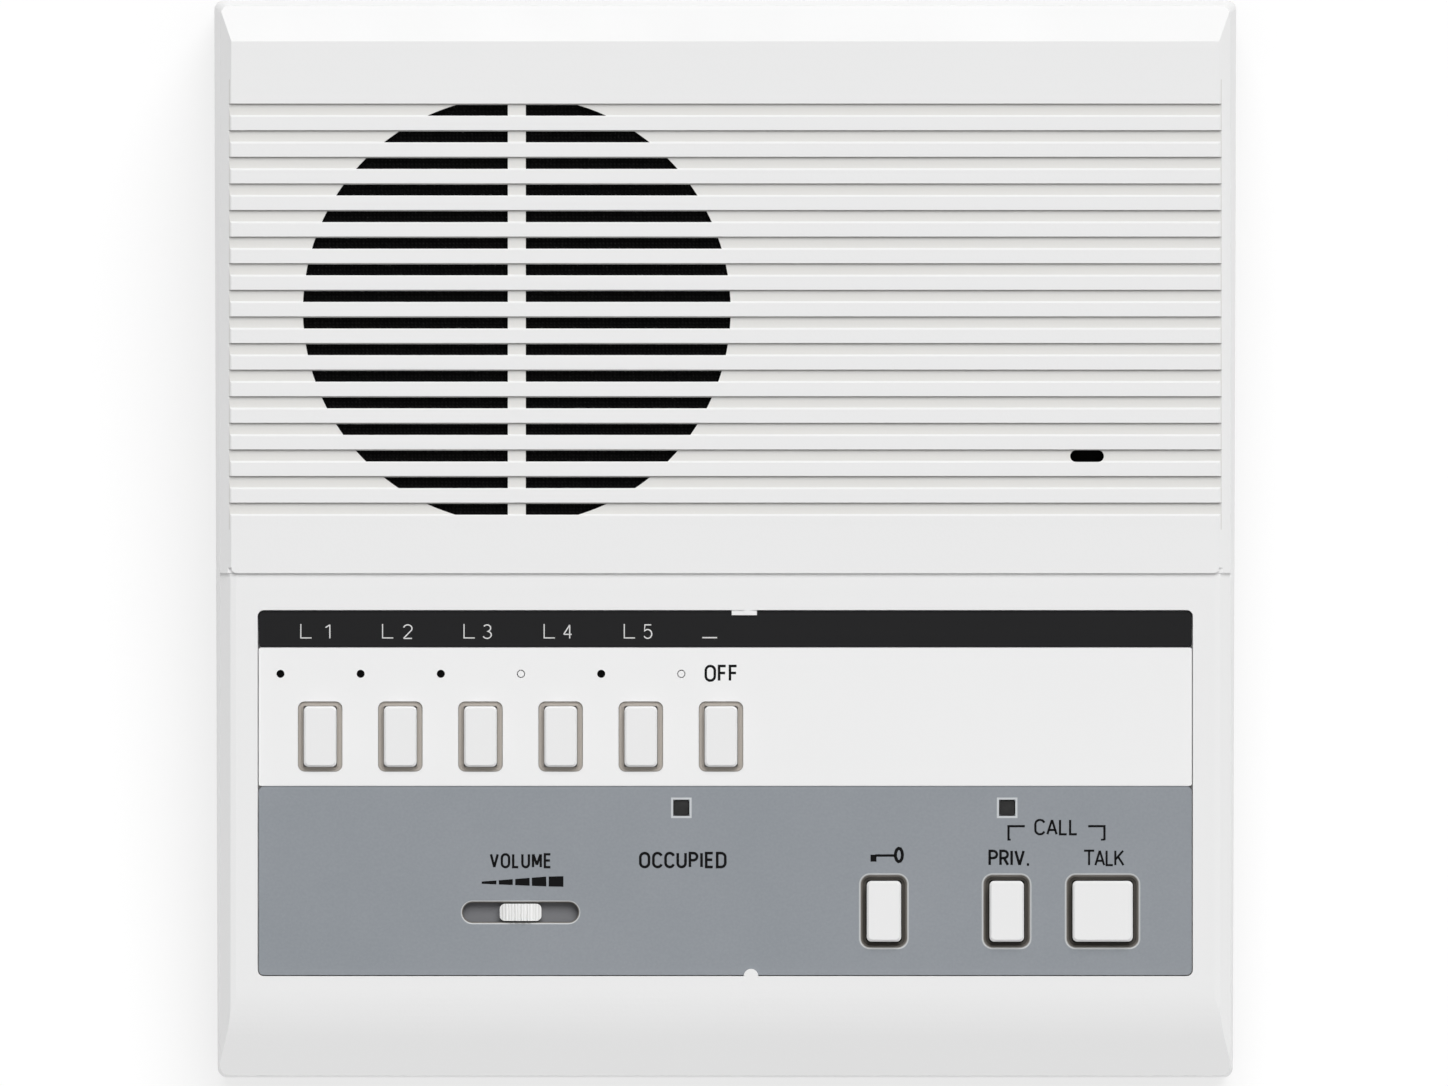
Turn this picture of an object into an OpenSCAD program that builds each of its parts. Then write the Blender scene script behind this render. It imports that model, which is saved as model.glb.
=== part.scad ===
// Desk intercom master station.
// A louvred housing stands on a base tray. It holds a loudspeaker, a microphone,
// a row of six latching selector keys, three press keys and a sliding volume control.
// Desk plane at z = 0, front edge towards -y, the face rises towards +y.

/* [Build] */
// Sub-part to draw, or all of them

/* [Case] */
// Width of the case between its side walls at face level, mm
body_w = 188.4; // [184:0.2:230]
// Length of the case from front wall to rear wall at face level, mm
body_l = 199.4; // [197:0.2:242]
// Tilt of the face above the desk, degrees
face_tilt = 7.5; // [6:0.5:9]
// Height of the middle of the face above the desk, mm
face_z = 46; // [45:0.5:58]
// Thickness of the moulded walls, mm
wall = 2.5; // [2.2:0.1:3]
// Draft of the moulded walls, degrees
wall_draft = 2.1; // [1:0.1:2.6]
// Radius of the upright corners, mm
corner_r = 1.8; // [1.5:0.1:6]
// Width of the 45 degree chamfer along both sides of the face, mm
side_chamfer = 2.05; // [1:0.05:2.5]
// Width of the soft edge beside that chamfer on the lower face, mm
soft_edge = 0.85; // [0.5:0.05:1.5]
// Length of the shallow bevel along the rear edge of the face, mm
bevel_l = 6.6; // [4:0.1:9]
// Slope of that bevel, degrees
bevel_angle = 19; // [10:1:25]
// Length of the rounded slope along the front edge of the face, mm
chin_l = 15.4; // [12:0.1:17]
// Slope at the front edge, degrees
chin_angle = 14; // [8:1:20]
// Height of the grille panel over the lower face, mm
face_step = 0.7; // [0.5:0.1:1.2]
// Height of the joint between housing and base tray, mm
parting_z = 12.8; // [12:0.1:14]
// Set-back of the base tray under the housing, mm
tray_setback = 1; // [0.5:0.1:1.2]
// Height of the rubber feet below the tray, mm
foot_h = 2.3; // [1.5:0.1:4]

/* [Grille] */
// Distance between neighbouring louvre grooves, mm
groove_pitch = 4.963; // [4.6:0.001:6]
// Width of one groove, mm
groove_w = 2.5; // [2.2:0.1:2.8]
// Depth of a groove at its rear edge, mm
groove_deep = 0.55; // [0.4:0.05:1.1]
// Depth of a groove at its front edge, mm
groove_shallow = 0.3; // [0.2:0.05:0.4]
// Width of the slope that ends a groove at its front edge, mm
groove_ramp = 0.4; // [0.2:0.05:0.8]
// Width of the open slots over the loudspeaker, mm
slot_w = 2.05; // [1.6:0.05:2.1]
// Radius of the slotted disc over the loudspeaker, mm
grille_r = 39.9; // [34:0.1:40.5]
// Width of the bar across the middle of the slots, mm
grille_bar = 3.35; // [2:0.05:6]
// Distance of the first groove from the rear edge, mm
grille_margin = 18.2; // [14:0.1:20]
// Distance of the loudspeaker axis from the left side, mm
speaker_side = 55.3; // [52:0.1:60]
// Distance of the loudspeaker axis from the rear edge, mm
speaker_rear = 56.7; // [54:0.1:58]

/* [Control panel] */
// Distance of the panel recess from the side walls, mm
panel_margin = 6.95; // [6:0.05:9]
// Length of the panel recess, mm
panel_l = 68.3; // [67:0.1:70]
// Distance of the panel recess from the front edge, mm
panel_front = 18.4; // [18:0.1:22]
// Thickness of the two panel plates, mm
plate_t = 2; // [1.5:0.1:2.1]
// Gap round the plates in their recess, mm
plate_gap = 0.2; // [0.1:0.05:0.4]
// Width of the black label strip, mm
strip_l = 6.7; // [6:0.1:7.5]
// Width of the white selector plate, mm
selector_plate_l = 25.8; // [25:0.1:27]

/* [Keys] */
// Distance between neighbouring selector keys, mm
select_pitch = 14.96; // [12:0.01:16]
// Width of a selector key, mm
select_w = 6.1; // [5.6:0.1:6.6]
// Length of a selector key, mm
select_l = 11.3; // [10:0.1:11.4]
// Travel of a selector key, mm
select_travel = 2.5; // [1:0.1:2.6]
// Height of the selector keys over their plate, mm
select_rise = 1.4; // [0.5:0.1:2.6]
// Width of the two narrow press keys, mm
press_w = 6.4; // [6:0.1:8]
// Width of the square talk key, mm
talk_w = 11.2; // [10:0.1:12]
// Length of the press keys, mm
press_l = 11.3; // [10:0.1:12]
// Travel of a press key, mm
press_travel = 2; // [1:0.1:2.2]
// Height of the press keys over their plate, mm
press_rise = 2.1; // [0.5:0.1:2.6]
// Length of the volume slot, mm
volume_slot_l = 21.5; // [18:0.1:26]
// Length of the volume knob, mm
volume_knob_l = 7.8; // [6:0.1:9]

/* [Hidden] */
select_count = 6;
slide_gap = 0.1;
eps = 0.02;
far = 150;
$fn = 40;

// face frame: u across, v up the face, w out of the face
half_w = body_w / 2;
half_l = body_l / 2;
taper = tan(wall_draft);
crease_v = half_l - bevel_l;
edge_fall = soft_edge * tan(10) / (1 - tan(10));
chin_v = -half_l + chin_l;
chin_arc_l = chin_l * 0.58;
chin_r = chin_arc_l / sin(chin_angle);
chin_steps = 8;
inner_w = -face_step - wall;

panel_w = body_w - 2 * panel_margin;
panel_r = 1.2;
panel_v0 = -half_l + panel_front;
panel_v1 = panel_v0 + panel_l;
panel_sink = 0.5;
plate_top = -face_step - panel_sink;
floor_w = plate_top - plate_t;
floor_t = 2.2;
floor_back = floor_w - floor_t;
well_w = floor_back + 0.6;
raised_v = panel_v1 + 6.9;
plate_w = panel_w - 2 * plate_gap;
strip_v1 = panel_v1 - plate_gap;
strip_v0 = strip_v1 - strip_l;
select_v1 = strip_v0 - plate_gap / 2;
select_v0 = select_v1 - selector_plate_l;
control_v1 = select_v0 - plate_gap / 2;
control_v0 = panel_v0 + plate_gap;

groove_first = half_l - grille_margin;
groove_count = floor((groove_first - raised_v - 8) / groove_pitch);
slot_edge = (groove_w - slot_w) / 2;
speaker_u = -half_w + speaker_side;
speaker_v = half_l - speaker_rear;
cloth_w = inner_w + 0.9;
cloth_t = 0.4;
cloth_r = grille_r + 1;

select_u = -panel_w / 2 + 11.65;
select_v = panel_v1 - 23.6;
lamp_du = -7.4;
lamp_v = panel_v1 - 11.9;
lamp_r = 0.75;
lamps = [0, 1, 2, 4];
blanks = [3, 5];
square_lamp = 2.8;
busy_u = -panel_w / 2 + 79.05;
call_u = panel_w / 2 - 34.65;
square_v = panel_v1 - 36.9;
volume_u = -panel_w / 2 + 49.05;
key_v = panel_v1 - 56.2;
volume_v = key_v - 0.2;
volume_slot_w = 3.6;
volume_knob_w = 3.2;
volume_knob_r = 1;
volume_travel = (volume_slot_l - volume_slot_w - volume_knob_l) / 2 + volume_knob_r;
door_u = panel_w / 2 - 57.65;
privacy_u = panel_w / 2 - 34.75;
talk_u = panel_w / 2 - 16.85;
key_gap = 0.7;
hole_r = 1.3;
lip_r = 0.85;

select_top = plate_top + select_rise;
key_top = plate_top + press_rise;
cap_foot = floor_back - 1;
board_w = -22;
board_t = 1.6;
board_v0 = panel_v0 + 0.8;
board_v1 = panel_v1 - 2.5;
board_hw = panel_w / 2 - 1.2;
frame_top = cap_foot - select_travel - 1.1;
frame_hw = 8;
frame_t = 1;
frame_u0 = select_u - 7.9;
frame_u1 = select_u + (select_count - 1) * select_pitch + 7.9;
latch_top = frame_top - 2.6;
latch_t = 0.8;
latch_hw = frame_hw - frame_t - slide_gap;
plunger_w = 3;
plunger_l = 4;
press_stem = 3.2;
switch_top = cap_foot - press_travel - 2.6;
switch_size = 12;
board_posts = [
    [-panel_w / 2 + 5.25, panel_v0 + 3.8],
    [panel_w / 2 - 5.25, panel_v0 + 3.8],
    [5, panel_v0 + 3.8],
    [-panel_w / 2 + 5.25, panel_v1 - 5.5],
    [panel_w / 2 - 5.25, panel_v1 - 5.5],
    [14, panel_v1 - 5.5]
];

mic_u = half_w - 26.7;
mic_row = 13;
mic_v = groove_first - mic_row * groove_pitch - groove_w / 2;
mic_r = 4.85;
boot_r = 6.1;

shroud_r = 41;
shroud_t = 1.6;
gasket_t = 0.8;
flange_w = -8.4;
flange_t = 1;
flange_r = 43.5;
ear_r = 46.5;
basket_l = 17;
magnet_r = 20;
magnet_l = 12;
screw_r = 1.2;
pilot_r = 1.25;
spigot_l = 1.5;

// front and rear lines of the case in the desk frame
nose_d = face_step + chin_l * tan(chin_angle) * 0.7;
front_y = -(half_l + taper * nose_d) * cos(face_tilt) + nose_d * sin(face_tilt);
rear_w = -(face_z - foot_h + (half_l - tray_setback) * sin(face_tilt)) / (cos(face_tilt) - taper * sin(face_tilt));
rear_y = (half_l - tray_setback - rear_w * taper) * cos(face_tilt) - rear_w * sin(face_tilt);
face_y = -(front_y + rear_y) / 2;
ribbon_u0 = half_w - 80;
ribbon_width = 20;
ribbon_t = 0.8;
ribbon_w = board_w - board_t - 4;
ribbon_v = board_v1 - 9;
ribbon_y = face_y + ribbon_v * cos(face_tilt) - ribbon_w * sin(face_tilt);
ribbon_z = face_z + ribbon_v * sin(face_tilt) + ribbon_w * cos(face_tilt) - 0.4;

tray_floor = foot_h + 2.5;
tray_wall = 2.6;
lip_gap = 0.1;
lip_t = 1;
lip_h = 2;
case_screw_x = half_w - 11.2;
case_screw_front = face_y + front_y + 10.2;
case_screw_rear = face_y + rear_y - 14;
foot_x = half_w - 22;
foot_front = case_screw_front + 12;
foot_rear = case_screw_rear - 8;
foot_r = 7;
foot_sink = 1;
post_r = 3.6;
boss_r = 4.2;
screw_seat = foot_h + 4.2;
keyhole_gap = 83.5;
keyhole_y = 40;
keyhole_r = 4.5;
keyhole_slot = 4.5;

amp_x0 = half_w - 84;
amp_x1 = half_w - 10;
amp_y0 = 0;
amp_y1 = 84;
amp_z = tray_floor + 6;
amp_t = 1.6;
amp_top = amp_z + amp_t;
entry_x = half_w - 49;
entry_w = 16;
terminal_count = 8;
terminal_pitch = 5;
terminal_x0 = entry_x - terminal_count * terminal_pitch / 2;

white = [0.93, 0.93, 0.93];
plate_grey = [0.58, 0.6, 0.62];
dark = [0.15, 0.15, 0.16];
steel = [0.7, 0.71, 0.72];
board_green = [0.2, 0.42, 0.26];

// ---- shared forms ----

module on_face() {
    translate([0, face_y, face_z])
        rotate([face_tilt, 0, 0])
            children();
}

module slab(low, high) {
    translate(low)
        cube(high - low);
}

module rounded_rect(a, b, r) {
    square([a - 2 * r, b], center = true);
    square([a, b - 2 * r], center = true);
    for (x = [-1, 1], y = [-1, 1])
        translate([x * (a / 2 - r), y * (b / 2 - r)])
            circle(r = r);
}

module obround(a, b) {
    square([a - b, b], center = true);
    for (x = [-1, 1])
        translate([x * (a - b) / 2, 0])
            circle(d = b);
}

// rounded plate of size a x b, from level w0 to w1, centred on u, v
module pad(u, v, w0, w1, a, b, r) {
    translate([u, v, w0])
        linear_extrude(w1 - w0)
            rounded_rect(a, b, r);
}

module pin(u, v, w0, w1, r) {
    translate([u, v, w0])
        cylinder(r = r, h = w1 - w0);
}

// prism along u from a (v, w) outline
module along_u(u0, u1) {
    translate([u0, 0, 0])
        rotate([90, 0, 90])
            linear_extrude(u1 - u0)
                children();
}

// prism along v from a (u, w) outline
module along_v(v0, v1) {
    translate([0, v1, 0])
        rotate([90, 0, 0])
            linear_extrude(v1 - v0)
                children();
}

module between_z(z0, z1) {
    translate([-far, -far, z0])
        cube([2 * far, 2 * far, z1 - z0]);
}

// box with drafted walls and rounded upright corners, set in by s
module draft_box(s) {
    r = max(corner_r - s, 0.5);
    on_face()
        hull()
            for (x = [-1, 1], y = [-1, 1], d = [-5, 85])
                translate([
                    x * (half_w - s + taper * d - r),
                    y * (half_l - s + taper * d - r),
                    -d
                ])
                    cylinder(r = r, h = eps, $fn = 32);
}

// side outline of the face as (v, w) points, set in by s
function chin_end(s) = [
    chin_v - (chin_r - s) * sin(chin_angle),
    -face_step - chin_r + (chin_r - s) * cos(chin_angle)
];
function bevel_level(v, s) = -(v - crease_v) * tan(bevel_angle) - s / cos(bevel_angle);
function top_line(s) = s == 0
    ? [[crease_v, 0], [raised_v, 0], [raised_v, -face_step]]
    : [[crease_v + (face_step + s - s / cos(bevel_angle)) / tan(bevel_angle), -face_step - s]];
function side_line(s) = concat(
    [[half_l + 12, -90], [half_l + 12, bevel_level(half_l + 12, s)]],
    top_line(s),
    [for (i = [0:chin_steps]) [
        chin_v - (chin_r - s) * sin(chin_angle * i / chin_steps),
        -face_step - chin_r + (chin_r - s) * cos(chin_angle * i / chin_steps)
    ]],
    [[-half_l - 12, chin_end(s)[1] - (chin_end(s)[0] + half_l + 12) * tan(chin_angle)]],
    [[-half_l - 12, -90]]
);

module side_form(s) {
    on_face()
        along_u(-far, far)
            polygon(side_line(s));
}

// 45 degree cuts along both sides, one step lower beside the lower face
module side_chamfers() {
    start = half_w - side_chamfer;
    for (m = [0, 1])
        mirror([m, 0, 0]) {
            along_v(raised_v, far)
                polygon([[start - 2, 2], [start + 9, -9], [start + 9, 2]]);
            translate([0, 0, -face_step])
                along_v(-far, raised_v)
                    polygon([
                        [start - 2, 2],
                        [start - soft_edge, 0],
                        [start + edge_fall, -edge_fall],
                        [start + 9, -9],
                        [start + 9, 2]
                    ]);
        }
}

// ---- housing ----

module groove_outline() {
    polygon([
        [0, 1],
        [0, -groove_deep],
        [-groove_w + groove_ramp, -groove_shallow],
        [-groove_w, 0],
        [-groove_w, 1]
    ]);
}

module grille_cuts() {
    for (i = [0:groove_count - 1])
        translate([0, groove_first - i * groove_pitch, 0])
            along_u(-far, far)
                groove_outline();
    intersection() {
        pin(speaker_u, speaker_v, -12, 1, grille_r, $fn = 96);
        for (i = [0:groove_count - 1])
            translate([0, groove_first - i * groove_pitch, 0])
                for (side = [-1, 1])
                    slab(
                        [speaker_u + (side > 0 ? grille_bar / 2 : -far), slot_edge - groove_w, -12],
                        [speaker_u + (side > 0 ? far : -grille_bar / 2), -slot_edge, 1]
                    );
    }
    translate([mic_u, mic_v, inner_w - 1])
        linear_extrude(wall + 3)
            obround(6.3, 2.2);
    pin(speaker_u, speaker_v, inner_w - 1, cloth_w, cloth_r + 0.1, $fn = 96);
}

module ring(u, v, w0, w1, r_out, r_in) {
    difference() {
        pin(u, v, w0, w1, r_out, $fn = 72);
        pin(u, v, w0 - 1, w1 + 1, r_in, $fn = 72);
    }
}

// screw bosses of the loudspeaker, at 45 degrees round its axis
module at_speaker_ears() {
    for (a = [45:90:315])
        translate([speaker_u + ear_r * cos(a), speaker_v + ear_r * sin(a), 0])
            children();
}

module at_case_screws() {
    for (x = [-1, 1], y = [case_screw_front, case_screw_rear])
        translate([x * case_screw_x, y, 0])
            children();
}

module housing_fittings() {
    on_face() {
        slab(
            [-panel_w / 2 - 2, panel_v0 - 2, floor_back],
            [panel_w / 2 + 2, panel_v1 + 2, -face_step - 0.5]
        );
        ring(speaker_u, speaker_v, flange_w + gasket_t, inner_w + 0.5, shroud_r + shroud_t, shroud_r);
        at_speaker_ears()
            pin(0, 0, flange_w, inner_w + 0.5, 3.2);
        ring(mic_u, mic_v, -9.4, inner_w + 0.5, boot_r + 1.5, boot_r);
        for (v = [panel_v1 + 4, crease_v - 3])
            slab([-half_w + 2, v, -6.5], [half_w - 2, v + 1.6, inner_w + 0.5]);
        for (x = [-1, 1], rib = [[-55, 14], [10, 16], [55, 18]])
            slab(
                [x > 0 ? half_w - 6 : -half_w + 1, rib[0], -rib[1]],
                [x > 0 ? half_w - 1 : -half_w + 6, rib[0] + 1.6, inner_w + 0.5]
            );
    }
    at_case_screws() {
        translate([0, 0, parting_z])
            cylinder(r = post_r, h = 60);
        translate([-post_r - 2.4, -0.8, parting_z + lip_h + 2])
            cube([2 * post_r + 4.8, 1.6, 60]);
    }
}

module at_selectors() {
    for (i = [0:select_count - 1])
        translate([select_u + i * select_pitch, select_v, 0])
            children();
}

module at_line_lamps(which) {
    for (i = which)
        translate([select_u + i * select_pitch + lamp_du, lamp_v, 0])
            children();
}

// window round a selector key, down to level w0
module select_window(w0) {
    pad(0, 0, w0, plate_top + 1, select_w + 2.2, select_l + 1.8, hole_r);
}

// each press key's place, with the width of its hole as $hole_w
module at_press_holes() {
    for (key = [[door_u, press_w], [privacy_u, press_w], [talk_u, talk_w]])
        translate([key[0], key_v, 0]) {
            $hole_w = key[1] + 2 * key_gap;
            children();
        }
}

module key_openings(w0, w1) {
    at_press_holes()
        pad(0, 0, w0, w1, $hole_w, press_l + 2 * key_gap, hole_r);
}

// what a quarter-round edge of radius r takes away, its hole on the left
module edge_outline(r) {
    difference() {
        translate([-0.5, -r])
            square([r + 0.5, r + 1]);
        translate([r, -r])
            circle(r = r);
    }
}

// cut that rounds the top edge of an a x b hole whose corners have radius rc
module rounded_edge(a, b, rc, r) {
    for (x = [0, 1], y = [0, 1])
        mirror([x, 0, 0])
            mirror([0, y, 0]) {
                translate([a / 2 - rc, b / 2 - rc, plate_top])
                    rotate_extrude(angle = 90)
                        translate([rc, 0])
                            edge_outline(r);
                translate([0, 0, plate_top]) {
                    if (b > 2 * rc)
                        along_v(0, b / 2 - rc)
                            translate([a / 2, 0])
                                edge_outline(r);
                    along_u(0, a / 2 - rc)
                        translate([b / 2, 0])
                            edge_outline(r);
                }
            }
}

module floor_cuts() {
    pad(0, (panel_v0 + panel_v1) / 2, floor_w, 2, panel_w, panel_l, panel_r);
    at_selectors() {
        pad(
            0, 0, floor_back - 1, floor_w + 1,
            select_w + 2 * slide_gap, select_l + 2 * slide_gap, 0.9
        );
        select_window(well_w);
    }
    at_line_lamps([0:select_count - 1])
        pin(0, 0, floor_back - 1, floor_w + 1, 1);
    for (u = [busy_u, call_u])
        pad(u, square_v, floor_back - 1, floor_w + 1, 3.2, 3.2, 0.3);
    key_openings(floor_back - 1, floor_w + 1);
    pad(
        volume_u, volume_v, floor_w - 1, floor_w + 1,
        shield_l() + 2 * volume_travel + 1, 6.8, 0.5
    );
    pad(volume_u, volume_v, floor_back - 1, floor_w, 2 * volume_travel + 3, 2.4, 0.5);
    for (p = board_posts)
        pin(p[0], p[1], floor_back - 1, floor_back + spigot_l, pilot_r);
}

function shield_l() = volume_slot_l + 2 * volume_travel + 0.6;

// small catches that hold the plates down in their recess
module plate_catches() {
    low = plate_top + slide_gap / 2;
    slab([1.2, panel_v1 - 0.95, low], [5.9, panel_v1 + 0.5, plate_top + 0.3]);
    slab([3.5, panel_v1 - 0.95, low], [4.9, panel_v1 + 0.5, -face_step]);
    pin(4.8, panel_v0, low, -face_step, 1.35);
}

module front_case() {
    color(white)
        difference() {
            union() {
                difference() {
                    union() {
                        difference() {
                            intersection() {
                                draft_box(0);
                                side_form(0);
                                between_z(parting_z, 100);
                            }
                            intersection() {
                                draft_box(wall);
                                side_form(wall);
                            }
                            on_face() {
                                side_chamfers();
                                step_corners();
                            }
                        }
                        intersection() {
                            housing_fittings();
                            side_form(1);
                            draft_box(1);
                        }
                    }
                    on_face()
                        floor_cuts();
                }
                on_face()
                    plate_catches();
            }
            on_face() {
                grille_cuts();
                at_speaker_ears()
                    pin(0, 0, flange_w - 1, flange_w + 5.6, pilot_r);
            }
            at_case_screws()
                translate([0, 0, parting_z - 1])
                    cylinder(r = pilot_r, h = 15);
        }
}

// rounds the two front corners of the grille panel
module step_corners() {
    for (m = [0, 1])
        mirror([m, 0, 0])
            translate([half_w - side_chamfer - 1, raised_v + 1, -face_step])
                difference() {
                    translate([0, -1.5, 0])
                        cube([2, 1.5, 3]);
                    cylinder(r = 1, h = 3);
                }
}

// ---- base tray ----

module at_feet() {
    for (x = [-1, 1], y = [foot_front, foot_rear])
        translate([x * foot_x, y, 0])
            children();
}

module at_amp_posts() {
    for (x = [amp_x0 + 5, amp_x1 - 5], y = [amp_y0 + 5, amp_y1 - 5])
        translate([x, y, 0])
            children();
}

module keyhole() {
    translate([0, 0, foot_h - 1])
        cylinder(r = keyhole_r, h = 5);
    translate([-keyhole_slot / 2, 0, foot_h - 1])
        cube([keyhole_slot, 9, 5]);
    translate([0, 9, foot_h - 1])
        cylinder(d = keyhole_slot, h = 5);
}

module rear_case() {
    color(dark)
        difference() {
            union() {
                difference() {
                    intersection() {
                        draft_box(tray_setback);
                        between_z(foot_h, parting_z);
                    }
                    intersection() {
                        draft_box(tray_setback + tray_wall);
                        between_z(tray_floor, 100);
                    }
                }
                difference() {
                    intersection() {
                        draft_box(wall + lip_gap);
                        between_z(parting_z - 2, parting_z + lip_h);
                    }
                    draft_box(wall + lip_gap + lip_t);
                }
                at_case_screws()
                    translate([0, 0, foot_h])
                        cylinder(r = boss_r, h = parting_z - foot_h);
            }
            at_feet()
                translate([0, 0, foot_h - 1])
                    cylinder(r = foot_r + 0.05, h = 1 + foot_sink);
            at_case_screws() {
                translate([0, 0, foot_h - 1])
                    cylinder(r = 3.1, h = screw_seat - foot_h + 1);
                cylinder(r = 1.7, h = parting_z + 1);
            }
            at_amp_posts()
                translate([0, 0, tray_floor - spigot_l])
                    cylinder(r = pilot_r, h = spigot_l + 1);
            for (x = [-1, 1])
                translate([x * keyhole_gap / 2, keyhole_y, 0])
                    keyhole();
            translate([entry_x - entry_w / 2, face_y + rear_y - 12, tray_floor + 0.8])
                cube([entry_w, 30, 20]);
            for (i = [0:6])
                translate([-half_w + 24 + i * 7, -8, foot_h - 1])
                    cube([2.4, 22, 5]);
        }
}

module rubber_feet() {
    color(dark)
        at_feet() {
            cylinder(r1 = foot_r - 0.6, r2 = foot_r, h = 0.8);
            translate([0, 0, 0.8])
                cylinder(r = foot_r, h = foot_h + foot_sink - 0.8);
        }
}

// pan-head screw pointing up, its seat at z = 0
module screw(head_r, head_h, shank_l) {
    translate([0, 0, -head_h])
        cylinder(r = head_r, h = head_h);
    translate([0, 0, -0.01])
        cylinder(r = screw_r, h = shank_l);
}

module case_screws() {
    color(steel)
        at_case_screws()
            translate([0, 0, screw_seat])
                screw(2.75, 1.8, 18);
}

// ---- panel plates and lamps ----

module label_strip() {
    color(dark)
        on_face()
            pad(0, (strip_v0 + strip_v1) / 2, floor_w, plate_top, plate_w, strip_l, 0.6);
}

module selector_plate() {
    color(white)
        on_face()
            difference() {
                pad(
                    0, (select_v0 + select_v1) / 2, floor_w, plate_top,
                    plate_w, selector_plate_l, 0.4
                );
                at_selectors()
                    select_window(floor_w - 1);
                at_line_lamps([0:select_count - 1])
                    pin(0, 0, floor_w - 1, plate_top + 1, lamp_r);
            }
}

module control_plate() {
    color(plate_grey)
        on_face()
            difference() {
                pad(
                    0, (control_v0 + control_v1) / 2, floor_w, plate_top,
                    plate_w, control_v1 - control_v0, 1
                );
                for (u = [busy_u, call_u])
                    pad(u, square_v, floor_w - 1, plate_top + 1, square_lamp, square_lamp, 0.25);
                key_openings(floor_w - 1, plate_top + 1);
                at_press_holes()
                    rounded_edge($hole_w, press_l + 2 * key_gap, hole_r, lip_r);
                translate([volume_u, volume_v, 0]) {
                    translate([0, 0, floor_w - 1])
                        linear_extrude(plate_t + 2)
                            obround(volume_slot_l, volume_slot_w);
                    rounded_edge(volume_slot_l, volume_slot_w, volume_slot_w / 2, 0.5);
                }
            }
}

module line_lamp_lenses() {
    color([0.1, 0.05, 0.05])
        on_face()
            at_line_lamps(lamps) {
                pin(0, 0, floor_back - 3, plate_top - 0.5, lamp_r - 0.05);
                pin(0, 0, floor_back - 0.8, floor_back, 1.9);
            }
}

module blanking_pips() {
    color(white)
        on_face()
            at_line_lamps(blanks) {
                pin(0, 0, floor_back - 0.8, plate_top - 0.1, lamp_r - 0.15);
                pin(0, 0, floor_back - 0.8, floor_back, 1.9);
            }
}

module square_lens(u) {
    color([0.1, 0.1, 0.1])
        on_face() {
            pad(u, square_v, floor_back - 3, plate_top - 0.3, square_lamp - 0.1, square_lamp - 0.1, 0.25);
            pad(u, square_v, floor_back - 0.8, floor_back, 5, 5, 0.5);
        }
}

module lamp_leds() {
    places = concat(
        [for (i = lamps) [select_u + i * select_pitch + lamp_du, lamp_v]],
        [[busy_u, square_v], [call_u, square_v]]
    );
    color([0.55, 0.1, 0.08])
        on_face()
            for (p = places) {
                pin(p[0], p[1], -13.6, -10.4, 1.5);
                translate([p[0], p[1], -10.4])
                    intersection() {
                        sphere(r = 1.5, $fn = 24);
                        cylinder(r = 2, h = 2);
                    }
                for (x = [-0.9, 0.9])
                    pin(p[0] + x, p[1], board_w, -13.5, 0.25, $fn = 16);
            }
}

// ---- loudspeaker and microphone ----

module grille_cloth() {
    color(dark)
        on_face()
            pin(speaker_u, speaker_v, cloth_w - cloth_t, cloth_w, cloth_r, $fn = 96);
}

module speaker_gasket() {
    color(dark)
        on_face()
            ring(
                speaker_u, speaker_v, flange_w, flange_w + gasket_t,
                shroud_r + shroud_t, shroud_r - 1.5
            );
}

module at_speaker() {
    on_face()
        translate([speaker_u, speaker_v, flange_w])
            children();
}

module speaker_basket() {
    cup_r = 21;
    color(steel)
        at_speaker()
            difference() {
                union() {
                    rotate_extrude($fn = 72)
                        polygon([
                            [37.2, 0],
                            [flange_r, 0],
                            [flange_r, -flange_t],
                            [38.4, -flange_t],
                            [37.6, -2.4],
                            [cup_r, -basket_l],
                            [10, -basket_l],
                            [10, -basket_l + 1],
                            [cup_r - 0.6, -basket_l + 1],
                            [35.3, -2.6],
                            [35.3, -1.2],
                            [37.2, -1.2]
                        ]);
                    for (a = [45:90:315])
                        rotate(a)
                            translate([ear_r, 0, -flange_t])
                                cylinder(r = 4.6, h = flange_t);
                }
                for (a = [45:90:315])
                    rotate(a) {
                        translate([ear_r, 0, -5])
                            cylinder(r = 1.7, h = 10);
                        rotate(45)
                            translate([20, -9, -basket_l + 2])
                                cube([30, 18, basket_l - 5]);
                    }
            }
}

module speaker_cone() {
    color([0.2, 0.19, 0.18])
        at_speaker()
            rotate_extrude($fn = 72)
                polygon([
                    [36.9, -0.6],
                    [34.6, 0.1],
                    [33, -0.5],
                    [9, -11],
                    [6, -8.6],
                    [0, -7.6],
                    [0, -8.2],
                    [6, -9.3],
                    [7.7, -10.8],
                    [7.7, -16.6],
                    [8.3, -16.6],
                    [8.3, -12.2],
                    [9, -12.1],
                    [33, -1.3],
                    [34.6, -0.7],
                    [36.9, -1.2]
                ]);
}

module speaker_magnet() {
    color([0.35, 0.35, 0.36])
        at_speaker() {
            translate([0, 0, -basket_l - 2])
                cylinder(r = magnet_r - 1.5, h = 2, $fn = 60);
            translate([0, 0, -basket_l - magnet_l + 2])
                cylinder(r = magnet_r, h = magnet_l - 4, $fn = 60);
            translate([0, 0, -basket_l - magnet_l])
                cylinder(r = magnet_r - 1.5, h = 2, $fn = 60);
            translate([0, 0, -basket_l - 1])
                cylinder(r = 7, h = 5.5);
        }
}

module speaker_screws() {
    color(steel)
        on_face()
            at_speaker_ears()
                translate([0, 0, flange_w - flange_t])
                    screw(3, 1.8, 6);
}

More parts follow.
